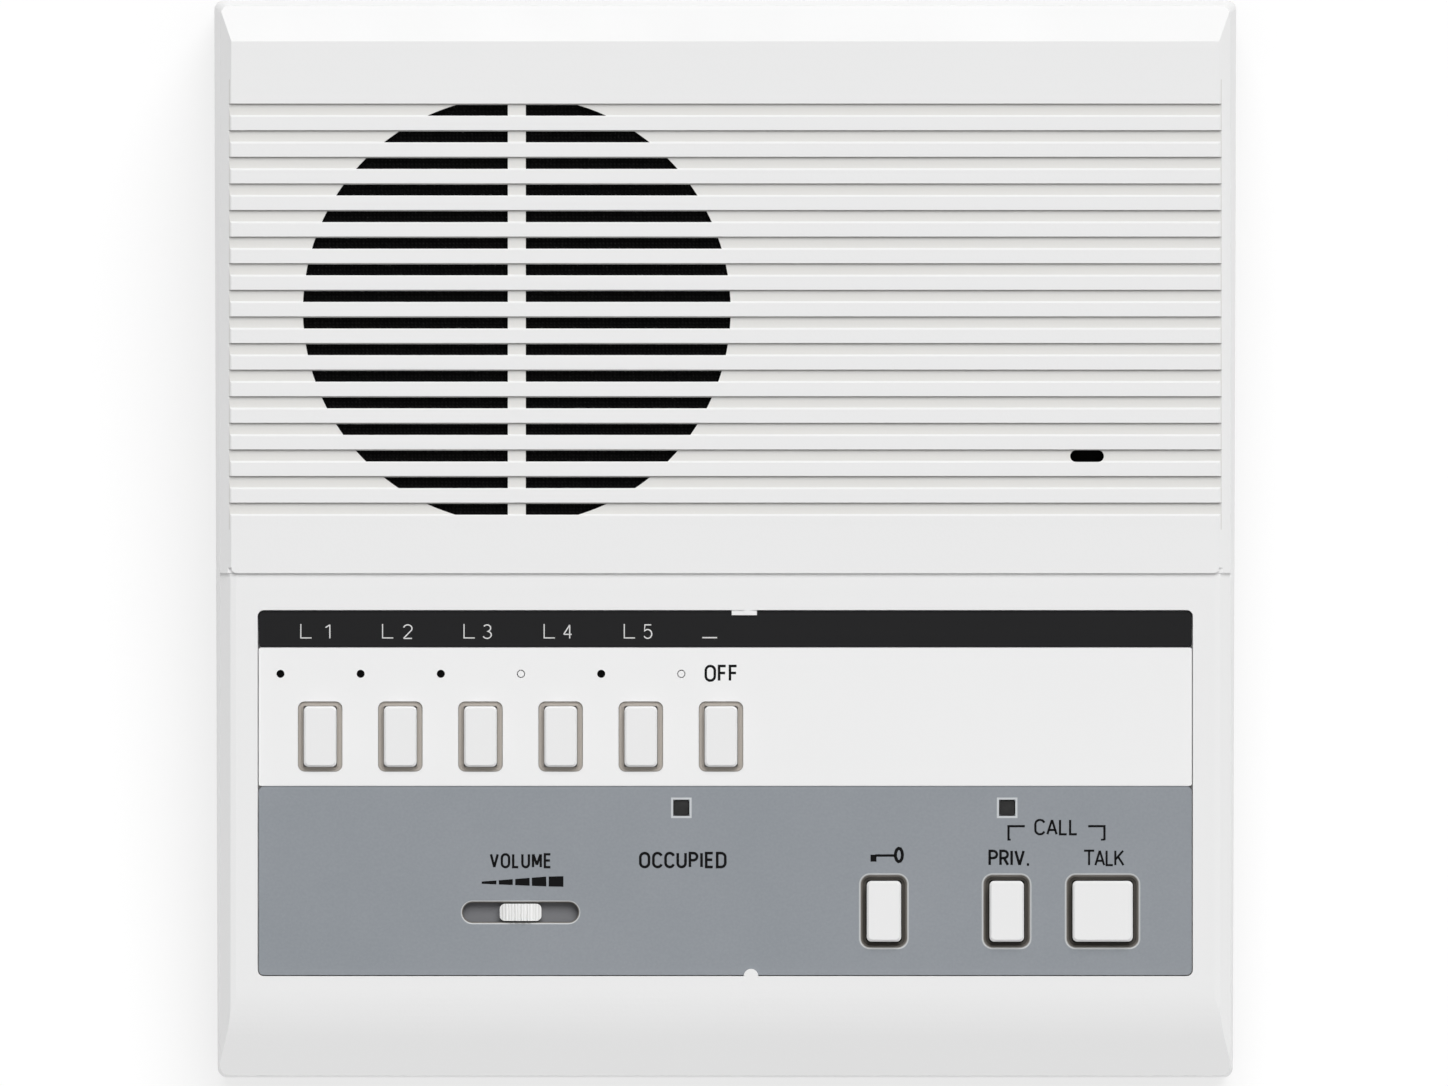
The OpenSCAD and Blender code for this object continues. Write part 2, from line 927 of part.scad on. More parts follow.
module microphone_boot() {
    color(dark)
        on_face()
            difference() {
                pin(mic_u, mic_v, -12, inner_w - 0.05, boot_r - 0.1);
                pin(mic_u, mic_v, -10.8, -5.2, mic_r + 0.05);
                pin(mic_u, mic_v, -6, 0, 3.4);
                pin(mic_u, mic_v, -14, -10, 2);
            }
}

module microphone() {
    color(steel)
        on_face() {
            pin(mic_u, mic_v, -10.75, -5.25, mic_r);
            for (x = [-1.2, 1.2])
                pin(mic_u + x, mic_v, -13.4, -10.7, 0.3, $fn = 16);
        }
}

// ---- key assembly on the control board ----

module control_board() {
    color(board_green)
        on_face() {
            difference() {
                slab([-board_hw, board_v0, board_w - board_t], [board_hw, board_v1, board_w]);
                for (p = board_posts)
                    pin(p[0], p[1], board_w - 3, board_w + 1, 1.6);
            }
            slab(
                [ribbon_u0 - 2, board_v1 - 12, board_w - board_t - 4],
                [ribbon_u0 + ribbon_width + 2, board_v1 - 6, board_w - board_t]
            );
        }
}

// round spacer from level z0 to z1, with a spigot at z1 and a screw hole at z0
module standoff(z0, z1, r) {
    difference() {
        union() {
            pin(0, 0, z0, z1, r);
            pin(0, 0, z1 - 0.01, z1 + spigot_l - slide_gap, screw_r);
        }
        pin(0, 0, z0 - 1, z0 + 9.5, pilot_r);
    }
}

module board_standoffs() {
    color(steel)
        on_face()
            for (p = board_posts)
                translate([p[0], p[1], 0])
                    standoff(board_w, floor_back, 2.8);
}

module board_screws() {
    color(steel)
        on_face()
            for (p = board_posts)
                translate([p[0], p[1], board_w - board_t])
                    screw(2.6, 1.6, 9);
}

module selector_frame() {
    color(steel)
        on_face()
            difference() {
                slab([frame_u0, select_v - frame_hw, board_w], [frame_u1, select_v + frame_hw, frame_top]);
                slab(
                    [frame_u0 - 1, select_v - frame_hw + frame_t, board_w + frame_t],
                    [frame_u1 + 1, select_v + frame_hw - frame_t, frame_top - frame_t]
                );
                at_selectors()
                    slab(
                        [-plunger_w / 2 - slide_gap, -plunger_l / 2 - slide_gap, frame_top - 2],
                        [plunger_w / 2 + slide_gap, plunger_l / 2 + slide_gap, frame_top + 1]
                    );
            }
}

module contact_block() {
    color(dark)
        on_face()
            difference() {
                union() {
                    slab(
                        [frame_u0 + 1, select_v - frame_hw + 1.4, board_w + frame_t],
                        [frame_u1 - 1, select_v + frame_hw - 1.4, board_w + frame_t + 2.4]
                    );
                    for (i = [0.5, 2.5, 4.5])
                        translate([select_u + i * select_pitch, select_v, 0])
                            slab(
                                [-1.5, -5, board_w + frame_t + 2],
                                [1.5, 5, latch_top - latch_t - 0.05]
                            );
                }
                at_selectors()
                    for (y = [-4.2, 2.6])
                        slab([-5, y, board_w + frame_t + 1], [5, y + 1.6, board_w + 5]);
            }
}

module latch_bar() {
    color([0.8, 0.78, 0.7])
        on_face()
            difference() {
                slab(
                    [frame_u0 + 1.5, select_v - latch_hw, latch_top - latch_t],
                    [frame_u1 - 3, select_v + latch_hw, latch_top]
                );
                at_selectors()
                    slab([-3.4, -3, latch_top - 2], [3.4, 3, latch_top + 1]);
            }
}

module switch_body(u) {
    color(dark)
        on_face()
            difference() {
                union() {
                    pad(u, key_v, board_w, switch_top - 1, switch_size, switch_size, 0.6);
                    pad(u, key_v, switch_top - 1.2, switch_top, 7, 7, 0.6);
                }
                slab(
                    [u - press_stem / 2 - slide_gap, key_v - press_stem / 2 - slide_gap, board_w + 1],
                    [u + press_stem / 2 + slide_gap, key_v + press_stem / 2 + slide_gap, 0]
                );
            }
}

module volume_pot() {
    color(steel)
        on_face()
            difference() {
                union() {
                    slab([volume_u - 22.5, volume_v - 4.5, -16.5], [volume_u + 22.5, volume_v + 4.5, -9]);
                    for (x = [-20, 16], y = [-3.4, 2.4])
                        slab([volume_u + x, volume_v + y, board_w], [volume_u + x + 4, volume_v + y + 1, -16]);
                }
                pad(volume_u, volume_v, -14, -8, 2 * volume_travel + 3.4, 3, 0.6);
            }
}

module volume_knob() {
    color(white)
        on_face()
            translate([volume_u, volume_v, floor_w - 0.1])
                difference() {
                    intersection() {
                        pad(0, 0, 0, 6, volume_knob_l, volume_knob_w, volume_knob_r);
                        translate([0, 0, -4.6])
                            rotate([90, 0, 0])
                                cylinder(r = 7.6, h = 10, center = true, $fn = 80);
                    }
                    for (i = [-2:2])
                        translate([i * 1.15 - 0.2, -5, 2.35])
                            cube([0.4, 10, 3]);
                }
}

module volume_slider() {
    color([0.35, 0.36, 0.37])
        on_face() {
            pad(volume_u, volume_v, floor_w - 0.9, floor_w - 0.1, shield_l(), 6.6, 0.4);
            slab([volume_u - 1, volume_v - 0.8, -12.5], [volume_u + 1, volume_v + 0.8, floor_w - 0.5]);
        }
}

// moulded key cap: chamfered top, socket for its stem and two lightening pockets
module key_cap(u, v, top, a, b, stem_a, stem_b) {
    h = top - cap_foot;
    color(white)
        on_face()
            translate([u, v, top])
                difference() {
                    hull() {
                        translate([0, 0, -0.02])
                            linear_extrude(0.02)
                                rounded_rect(a - 0.7, b - 0.7, 0.7, $fn = 24);
                        translate([0, 0, -h])
                            linear_extrude(h - 0.35)
                                rounded_rect(a, b, 0.85, $fn = 24);
                    }
                    slab([-stem_a / 2, -stem_b / 2, -h - 1], [stem_a / 2, stem_b / 2, -1.6]);
                    for (y = [-1, 1])
                        translate([0, y * (b + stem_b) / 4, -h / 2 - 1])
                            cube([a - 2, (b - stem_b) / 2 - 2, h - 1.5], center = true);
                }
}

module select_cap(i) {
    key_cap(
        select_u + i * select_pitch, select_v, select_top,
        select_w, select_l, plunger_w, plunger_l
    );
}

module press_cap(u, a) {
    key_cap(u, key_v, key_top, a, press_l, press_stem, press_stem);
}

module select_plunger(i) {
    u = select_u + i * select_pitch;
    color([0.85, 0.83, 0.76])
        on_face() {
            slab(
                [u - plunger_w / 2, select_v - plunger_l / 2, -15.5],
                [u + plunger_w / 2, select_v + plunger_l / 2, select_top - 1.6]
            );
            slab([u - 2.1, select_v - plunger_l / 2, -15.5], [u + 2.1, select_v + plunger_l / 2, -14.2]);
        }
}

module press_plunger(u) {
    color([0.85, 0.83, 0.76])
        on_face()
            slab(
                [u - press_stem / 2, key_v - press_stem / 2, -17.5],
                [u + press_stem / 2, key_v + press_stem / 2, key_top - 1.6]
            );
}

// ---- amplifier on the base tray ----

module amplifier_board() {
    color(board_green) {
        difference() {
            slab([amp_x0, amp_y0, amp_z], [amp_x1, amp_y1, amp_top]);
            at_amp_posts()
                translate([0, 0, amp_z - 1])
                    cylinder(r = 1.6, h = 4);
        }
        slab([ribbon_u0 - 2, amp_y0 + 10, amp_top], [ribbon_u0 + ribbon_width + 2, amp_y0 + 16, amp_top + 4]);
    }
}

module amplifier_standoffs() {
    color(steel)
        at_amp_posts()
            translate([0, 0, tray_floor])
                mirror([0, 0, 1])
                    standoff(tray_floor - amp_z, 0, 2.8);
}

module amplifier_screws() {
    color(steel)
        at_amp_posts()
            translate([0, 0, amp_top])
                rotate([180, 0, 0])
                    screw(2.6, 1.6, 6.5);
}

module transformer() {
    x = amp_x1 - 36;
    y = amp_y0 + 32;
    color(steel)
        slab([x, y, amp_top], [x + 32, y + 9, amp_top + 24]);
    color([0.75, 0.6, 0.3])
        slab([x + 4, y - 6, amp_top + 4], [x + 28, y + 15, amp_top + 20]);
}

module capacitors() {
    color([0.2, 0.3, 0.5])
        for (p = [[44, 24, 6.3, 20], [44, 40, 5, 16], [44, 54, 4, 12]]) {
            translate([amp_x1 - p[0], amp_y0 + p[1], amp_top])
                cylinder(r = p[2], h = p[3]);
        }
}

module amplifier_chip() {
    color(dark)
        slab([amp_x1 - 26, amp_y0 + 57.5, amp_top + 3], [amp_x1 - 10, amp_y0 + 61, amp_top + 17]);
    color(steel)
        for (i = [0:5])
            slab(
                [amp_x1 - 24.4 + i * 2.4, amp_y0 + 59, amp_top],
                [amp_x1 - 23.6 + i * 2.4, amp_y0 + 59.6, amp_top + 3.4]
            );
}

module heat_sink() {
    x0 = amp_x1 - 32;
    color([0.6, 0.61, 0.63])
        union() {
            slab([x0, amp_y0 + 61, amp_top], [x0 + 28, amp_y0 + 63, amp_top + 24]);
            for (i = [0:5])
                slab(
                    [x0 + i * 5.2, amp_y0 + 62.5, amp_top],
                    [x0 + i * 5.2 + 1.2, amp_y0 + 68, amp_top + 24]
                );
        }
}

module at_terminals() {
    for (i = [0:terminal_count - 1])
        translate([terminal_x0 + (i + 0.5) * terminal_pitch, amp_y1 - 6, 0])
            children();
}

module terminal_block() {
    color([0.15, 0.3, 0.25])
        difference() {
            slab(
                [terminal_x0, amp_y1 - 10.5, amp_top],
                [terminal_x0 + terminal_count * terminal_pitch, amp_y1 - 1.5, amp_top + 10]
            );
            at_terminals() {
                translate([0, 0, amp_top + 6])
                    cylinder(r = 1.9, h = 6);
                slab([-1.6, 1, amp_top + 1.5], [1.6, 8, amp_top + 5]);
            }
        }
}

module terminal_screws() {
    color(steel)
        at_terminals()
            translate([0, 0, amp_top + 6])
                difference() {
                    cylinder(r = 1.8, h = 2.6);
                    slab([-2, -0.3, 1.8], [2, 0.3, 4]);
                }
}

// flat cable: down from the control board, back along the tray, up on to the amplifier
module ribbon_cable() {
    low = tray_floor + 4.4;
    back = amp_y0 + 13;
    color([0.6, 0.6, 0.6])
        along_u(ribbon_u0, ribbon_u0 + ribbon_width)
            polygon([
                [ribbon_y, ribbon_z],
                [ribbon_y, low],
                [amp_y0 - 4, low],
                [amp_y0 - 4, amp_top + 4 + ribbon_t],
                [back, amp_top + 4 + ribbon_t],
                [back, amp_top + 4],
                [amp_y0 - 4 + ribbon_t, amp_top + 4],
                [amp_y0 - 4 + ribbon_t, low - ribbon_t],
                [ribbon_y - ribbon_t, low - ribbon_t],
                [ribbon_y - ribbon_t, ribbon_z]
            ]);
}

// ---- what is drawn ----

front_case();
rear_case();
rubber_feet();
case_screws();
label_strip();
selector_plate();
control_plate();
line_lamp_lenses();
blanking_pips();
square_lens(busy_u);  // busy_lens
square_lens(call_u);  // call_lens
lamp_leds();
grille_cloth();
speaker_gasket();
speaker_basket();
speaker_cone();
speaker_magnet();
speaker_screws();
microphone_boot();
microphone();
control_board();
board_standoffs();
board_screws();
selector_frame();
contact_block();
latch_bar();
switch_body(door_u);  // door_switch
switch_body(privacy_u);  // privacy_switch
switch_body(talk_u);  // talk_switch
volume_pot();
volume_knob();
volume_slider();
amplifier_board();
amplifier_standoffs();
amplifier_screws();
transformer();
capacitors();
amplifier_chip();
heat_sink();
terminal_block();
terminal_screws();
ribbon_cable();
select_cap(0);  // select_1_cap
select_cap(1);  // select_2_cap
select_cap(2);  // select_3_cap
select_cap(3);  // select_4_cap
select_cap(4);  // select_5_cap
select_cap(5);  // off_cap
press_cap(door_u, press_w);  // door_cap
press_cap(privacy_u, press_w);  // privacy_cap
press_cap(talk_u, talk_w);  // talk_cap
select_plunger(0);  // select_1_plunger
select_plunger(1);  // select_2_plunger
select_plunger(2);  // select_3_plunger
select_plunger(3);  // select_4_plunger
select_plunger(4);  // select_5_plunger
select_plunger(5);  // off_plunger
press_plunger(door_u);  // door_plunger
press_plunger(privacy_u);  // privacy_plunger
press_plunger(talk_u);  // talk_plunger
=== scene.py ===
# Desk intercom master station, built up in the order in which it is put together:
# tray, amplifier, loudspeaker, control board, housing, panel plates, keys, printing.
import bpy
import math
import numpy as np
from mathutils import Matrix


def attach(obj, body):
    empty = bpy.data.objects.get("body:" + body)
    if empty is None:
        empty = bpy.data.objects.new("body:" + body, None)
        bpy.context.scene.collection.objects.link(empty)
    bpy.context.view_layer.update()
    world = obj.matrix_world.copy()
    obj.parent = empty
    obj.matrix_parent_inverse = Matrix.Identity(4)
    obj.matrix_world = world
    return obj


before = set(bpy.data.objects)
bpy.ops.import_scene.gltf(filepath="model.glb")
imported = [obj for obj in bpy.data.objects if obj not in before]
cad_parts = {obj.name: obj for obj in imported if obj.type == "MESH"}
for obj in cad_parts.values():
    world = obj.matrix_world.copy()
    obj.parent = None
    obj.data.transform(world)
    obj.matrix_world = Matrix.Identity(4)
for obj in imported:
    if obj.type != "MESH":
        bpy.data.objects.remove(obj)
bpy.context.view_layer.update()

# ---- studio ----
# The unit stands on a lit white table and is looked at square on to its sloping face,
# through a long lens from 7.5 m, under a wide soft sky and one large soft lamp behind
# it and a little to the right.
FACE_TILT = math.radians(7.5)
FACE_POINT = (0.0, -0.00444894, 0.046)  # the face's middle, in metres
ACROSS = np.array([1.0, 0.0, 0.0])
UP_FACE = np.array([0.0, math.cos(FACE_TILT), math.sin(FACE_TILT)])
OUT_OF_FACE = np.array([0.0, -math.sin(FACE_TILT), math.cos(FACE_TILT)])
LENS_POINT = (-0.24, -0.49, 7504)  # u, v and w in millimetres


def on_face(points):
    """Face millimetres (u across, v up the face, w out of it) to row metres:
    the face's middle point plus u, v and w along its three directions."""
    u, v, w = np.moveaxis(np.asarray(points, float) / 1000, -1, 0)[..., None]
    return np.array(FACE_POINT) + u * ACROSS + v * UP_FACE + w * OUT_OF_FACE


lens = bpy.data.cameras.new("long_lens")
lens.lens, lens.sensor_width = 1000, 36
lens.clip_start, lens.clip_end = 0.1, 100
camera = bpy.data.objects.new("camera", lens)
camera.location = on_face(LENS_POINT)
camera.rotation_euler = (FACE_TILT, 0, 0)
bpy.context.collection.objects.link(camera)
bpy.context.scene.camera = camera
bpy.context.scene.view_settings.view_transform = "Standard"


def set_sockets(tree, node, sockets):
    """Sets a node's inputs by name: a link where an output is given, a value otherwise."""
    for name, value in dict(sockets).items():
        if isinstance(value, bpy.types.NodeSocket):
            tree.links.new(value, node.inputs[name])
        else:
            node.inputs[name].default_value = value


def add(tree, kind, sockets=(), **settings):
    """Adds one shader node with its settings, links and values."""
    made = tree.nodes.new(kind)
    for name, value in settings.items():
        setattr(made, name, value)
    set_sockets(tree, made, sockets)
    return made


def linear(hex_colour):
    """sRGB hex to linear RGBA, by the standard's two-part curve."""
    c = np.array([int(hex_colour[i:i + 2], 16) for i in (1, 3, 5)]) / 255
    c = np.where(c <= 0.04045, c / 12.92, ((c + 0.055) / 1.055) ** 2.4)
    return (*c.tolist(), 1.0)


# The sky brightens upward and a little to the right, and is nowhere darker than its least
# level. The lamp lights the slope from behind.
SKY_RISE = (0.144, -0.251, 0.517)  # along x, y and z
SKY_MIDDLE, SKY_LEAST = -0.069, 0.25
LAMP_HEIGHT, LAMP_TURN = math.radians(60), math.radians(14)

sky = bpy.data.worlds.new("soft_sky")
sky.use_nodes = True
heaven = sky.node_tree
toward = add(heaven, "ShaderNodeTexCoord").outputs["Generated"]
rise = add(heaven, "ShaderNodeVectorMath", {0: toward, 1: SKY_RISE}, operation="DOT_PRODUCT")
level = add(heaven, "ShaderNodeMath", {0: rise.outputs["Value"], 1: SKY_MIDDLE}, operation="ADD")
least = add(heaven, "ShaderNodeMath", {0: level.outputs[0], 1: SKY_LEAST}, operation="MAXIMUM")
set_sockets(heaven, heaven.nodes["Background"],
            {"Strength": least.outputs[0], "Color": linear("#FFFFFF")})
bpy.context.scene.world = sky

lamp = bpy.data.lights.new("large_soft_lamp", "SUN")
lamp.energy, lamp.angle = 2.19, math.radians(40)
lamp_object = bpy.data.objects.new("large_soft_lamp", lamp)
lamp_object.rotation_euler = (LAMP_HEIGHT - math.pi / 2, 0, -LAMP_TURN)
bpy.context.collection.objects.link(lamp_object)


def begin(name):
    """A new material's node tree with its shader, and the object's own metres as place."""
    made = bpy.data.materials.new(name)
    made.use_nodes = True
    tree = made.node_tree
    place = add(tree, "ShaderNodeTexCoord").outputs["Object"]
    return made, tree, tree.nodes["Principled BSDF"], place


def per_mm(size):
    """Texture scale, in repeats per metre, of a pattern whose feature is size mm."""
    return 1000 / size


def table_top():
    """Back-lit white acrylic: near-white, with a faint cloudy unevenness a hand's width across."""
    made, tree, shader, place = begin("lit_white_acrylic_table")
    cloud = add(tree, "ShaderNodeTexNoise", {"Vector": place, "Scale": per_mm(90), "Detail": 2})
    tint = add(tree, "ShaderNodeMix", {"Factor": cloud.outputs["Fac"], "A": linear("#8E8E8E"),
                                       "B": linear("#929292")}, data_type="RGBA")
    set_sockets(tree, shader, {
        "Base Color": tint.outputs["Result"], "Roughness": 0.9, "Specular IOR Level": 0.1,
        "Emission Color": linear("#FFFFFF"), "Emission Strength": 0.74})
    return made


SQUARE = [(-1, -1), (1, -1), (1, 1), (-1, 1)]  # the corners of a square, walked round
HALF_TABLE = 12.0  # m, so that its edge lies outside every view

table_mesh = bpy.data.meshes.new("table")
table_mesh.from_pydata([(HALF_TABLE * a, HALF_TABLE * b, 0) for a, b in SQUARE], [], [(0, 1, 2, 3)])
table_mesh.materials.append(table_top())
table = bpy.data.objects.new("table", table_mesh)
bpy.context.collection.objects.link(table)


# ---- base tray ----
# The tray is moulded in charcoal ABS with a fine spark-eroded grain. Four rubber feet
# are glued into its seats, and four steel screws come up through it into the housing.
def finish_node(material, *names):
    """Gives CAD pieces their finish, in the material slots that they have."""
    for name in names:
        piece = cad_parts[name]
        if not piece.material_slots:
            piece.data.materials.append(material)
        for place in piece.material_slots:
            place.material = material


CLOUD = 38  # mm across a cloud of tone, about the width of a palm
STREAK = 0.8  # mm between a metal's drawn streaks, coarser than real ones so that they show


def moulded(name, light, dark, grain, depth, rough, sheen=0.3):
    """Injection-moulded plastic: a cloudy tone between two near colours, a pebble grain
    left by the mould, grain mm wide and depth mm deep, and a roughness that wanders a
    little where it is handled. The grain is drawn coarser than a real one, to show."""
    made, tree, shader, place = begin(name)
    cloud = add(tree, "ShaderNodeTexNoise", {"Vector": place, "Scale": per_mm(CLOUD), "Detail": 3,
                                             "Roughness": 0.55})
    tone = add(tree, "ShaderNodeMix", {"Factor": cloud.outputs["Fac"], "A": linear(light),
                                       "B": linear(dark)}, data_type="RGBA")
    pebble = add(tree, "ShaderNodeTexVoronoi", {"Vector": place, "Scale": per_mm(grain),
                                                "Randomness": 1.0}, feature="SMOOTH_F1")
    fine = add(tree, "ShaderNodeTexNoise", {"Vector": place, "Scale": per_mm(grain * 0.6),
                                            "Detail": 2})
    height = add(tree, "ShaderNodeMath", {0: pebble.outputs["Distance"], 1: fine.outputs["Fac"]},
                 operation="ADD")
    relief = add(tree, "ShaderNodeBump", {"Height": height.outputs[0], "Strength": 1.0,
                                          "Distance": depth / 1000})
    rub = add(tree, "ShaderNodeMapRange", {"Value": cloud.outputs["Fac"], "From Min": 0.3,
                                           "From Max": 0.7, "To Min": rough - 0.05,
                                           "To Max": rough + 0.05})
    set_sockets(tree, shader, {
        "Base Color": tone.outputs["Result"], "Normal": relief.outputs["Normal"],
        "Roughness": rub.outputs["Result"], "IOR": 1.53, "Specular IOR Level": sheen})
    return made


def plain_metal(name, light, dark, rough, streak):
    """Plated or brushed metal: two near tones drawn out along one direction."""
    made, tree, shader, place = begin(name)
    drawn = add(tree, "ShaderNodeMapping", {"Vector": place, "Scale": (1.0, streak, 1.0)})
    grain = add(tree, "ShaderNodeTexNoise", {"Vector": drawn.outputs["Vector"],
                                             "Scale": per_mm(STREAK), "Detail": 3})
    tone = add(tree, "ShaderNodeMix", {"Factor": grain.outputs["Fac"], "A": linear(light),
                                       "B": linear(dark)}, data_type="RGBA")
    relief = add(tree, "ShaderNodeBump", {"Height": grain.outputs["Fac"], "Strength": 0.4,
                                          "Distance": 0.00002})
    set_sockets(tree, shader, {
        "Base Color": tone.outputs["Result"], "Normal": relief.outputs["Normal"],
        "Metallic": 1.0, "Roughness": rough})
    return made


# The tray is matt with a close grain, the rubber dull and coarser, the zinc softly bright.
charcoal_abs = moulded("charcoal_moulded_abs", "#2B2B2D", "#262628", 0.7, 0.03, 0.55)
feet_rubber = moulded("black_feet_rubber", "#1C1C1C", "#171717", 0.9, 0.05, 0.85, 0.2)
zinc_steel = plain_metal("zinc_plated_steel", "#C9CACB", "#AEB0B2", 0.35, 0.3)
finish_node(charcoal_abs, "rear_case")
finish_node(feet_rubber, "rubber_feet")
finish_node(zinc_steel, "case_screws")

# ---- amplifier board ----
# A green circuit board carries an iron-cored output transformer, electrolytics, a power
# chip on an aluminium fin and the terminal block where the building's wiring comes in. It
# is screwed to four steel standoffs in the tray.

# Mask and sleeves are glossy skins over one colour, epoxy is dull, and the cut iron and
# rolled aluminium show fine streaks.
board_green = moulded("green_solder_mask", "#1F5A36", "#1A4E2F", 1.6, 0.01, 0.4, 0.5)
part_black = moulded("black_epoxy", "#222222", "#1B1B1C", 0.5, 0.01, 0.45)
core_iron = plain_metal("iron_laminations", "#6F6C68", "#55524F", 0.5, 0.05)
sleeve_blue = moulded("blue_shrink_sleeve", "#1F3F7A", "#1A366B", 2.0, 0.005, 0.35, 0.5)
fin_aluminium = plain_metal("mill_finish_aluminium", "#D2D3D4", "#BDBFC1", 0.4, 0.2)
block_green = moulded("green_polyamide", "#2C7A4B", "#276E43", 0.9, 0.01, 0.5)
finish_node(board_green, "amplifier_board")
finish_node(core_iron, "transformer")
finish_node(sleeve_blue, "capacitors")
finish_node(part_black, "amplifier_chip")
finish_node(fin_aluminium, "heat_sink")
finish_node(block_green, "terminal_block")
finish_node(zinc_steel, "amplifier_screws", "amplifier_standoffs", "terminal_screws")


# ---- loudspeaker and microphone ----
# A paper-cone loudspeaker hangs from four bosses behind the slots, with a black woven
# cloth in front of it, and the microphone sits in a rubber boot behind its own hole.
def bands_per_mm(period):
    """Wave texture scale for bands a period apart: a scale of 1 has 20 / (2 pi) bands a metre."""
    return 1000 / period * 2 * math.pi / 20


THREADS = 0.7  # mm between threads, a little coarser than the real cloth so that they show


def woven_cloth():
    """Plain weave: two sets of threads that cross, over and under."""
    made, tree, shader, place = begin("black_woven_cloth")
    warp, weft = [add(tree, "ShaderNodeTexWave", {"Vector": place, "Scale": bands_per_mm(THREADS)},
                      bands_direction=way).outputs["Fac"] for way in "XY"]
    over = add(tree, "ShaderNodeMath", {0: warp, 1: weft}, operation="MULTIPLY")
    tone = add(tree, "ShaderNodeMix", {"Factor": over.outputs[0], "A": linear("#060606"),
                                       "B": linear("#151514")}, data_type="RGBA")
    relief = add(tree, "ShaderNodeBump", {"Height": over.outputs[0], "Strength": 1.0,
                                          "Distance": 0.0001})
    set_sockets(tree, shader, {
        "Base Color": tone.outputs["Result"], "Normal": relief.outputs["Normal"],
        "Roughness": 0.95, "Specular IOR Level": 0.1})
    return made


# Paper and felt are fibrous and give almost no shine, pressed steel a blurred one, and the
# magnet is a dense dull grey.
cone_paper = moulded("pulp_cone_paper", "#2E2B28", "#262320", 0.8, 0.04, 0.9, 0.1)
basket_steel = plain_metal("pressed_steel_basket", "#A9ABAD", "#8E9092", 0.4, 0.5)
magnet_ferrite = moulded("sintered_ferrite", "#3A3A3B", "#2F2F30", 0.5, 0.02, 0.6)
capsule_felt = moulded("black_capsule_felt", "#141414", "#0E0E0E", 0.4, 0.02, 0.9, 0.1)
finish_node(woven_cloth(), "grille_cloth")
finish_node(cone_paper, "speaker_cone", "speaker_gasket")
finish_node(basket_steel, "speaker_basket")
finish_node(magnet_ferrite, "speaker_magnet")
finish_node(zinc_steel, "speaker_screws")
finish_node(feet_rubber, "microphone_boot")
finish_node(capsule_felt, "microphone")

# ---- control board ----
# Keys stand in a folded steel frame over sliding contacts. A brass latch bar holds the
# pressed line key down, and three push switches and the slide control sit beside it. A
# flat cable joins this board to the amplifier's.

# Bare steel and brass shine with a drawn streak; the cream plastic and grey cable are waxy.
key_frame_steel = plain_metal("folded_key_frame_steel", "#B4B6B8", "#9DA0A3", 0.4, 0.2)
latch_brass = plain_metal("brass_latch_bar", "#C9A85C", "#B59349", 0.35, 0.2)
part_cream = moulded("cream_relay_plastic", "#D8D3C4", "#CEC8B8", 0.9, 0.01, 0.5)
ribbon_grey = moulded("grey_pvc_ribbon", "#A4A5A6", "#96979A", 1.2, 0.02, 0.5)
finish_node(board_green, "control_board")
finish_node(key_frame_steel, "selector_frame")
finish_node(latch_brass, "latch_bar")
finish_node(part_cream, "contact_block")
finish_node(part_black, "door_switch", "privacy_switch", "talk_switch", "volume_pot")
finish_node(zinc_steel, "board_screws", "board_standoffs")
finish_node(ribbon_grey, "ribbon_cable")


# ---- housing ----
# The louvred housing is one moulding in white ABS. Its mould is spark eroded, so the
# skin has a fine pebble grain and a soft, even, slightly silky shine.
def face_coordinate(tree, place, direction):
    """Shader value: how many mm a place lies from the face's middle along a direction."""
    along = add(tree, "ShaderNodeVectorMath", {0: place, 1: (1000 * direction).tolist()},
                operation="DOT_PRODUCT")
    middle = 1000 * float(direction @ FACE_POINT)
    return add(tree, "ShaderNodeMath", {0: along.outputs["Value"], 1: -middle},
               operation="ADD").outputs[0]


LOUVRE_SIDE, LOUVRE_FRONT, LOUVRE_REAR = 92.6, 2, 86  # where the grooves end, face mm
UNSHADED_ABOVE, GROOVE_FOOT, UNSHADED_BELOW = -0.25, -0.55, -0.6  # levels between which shade is painted
GROOVE_SHADES = [(0, "#FFFFFF"), (0.15, "#F1F0ED"), (0.63, "#E7E6E3"), (0.78, "#D9D8D6"),
        (1, "#D0CFCD")]  # share of the way down, and the painted shade there
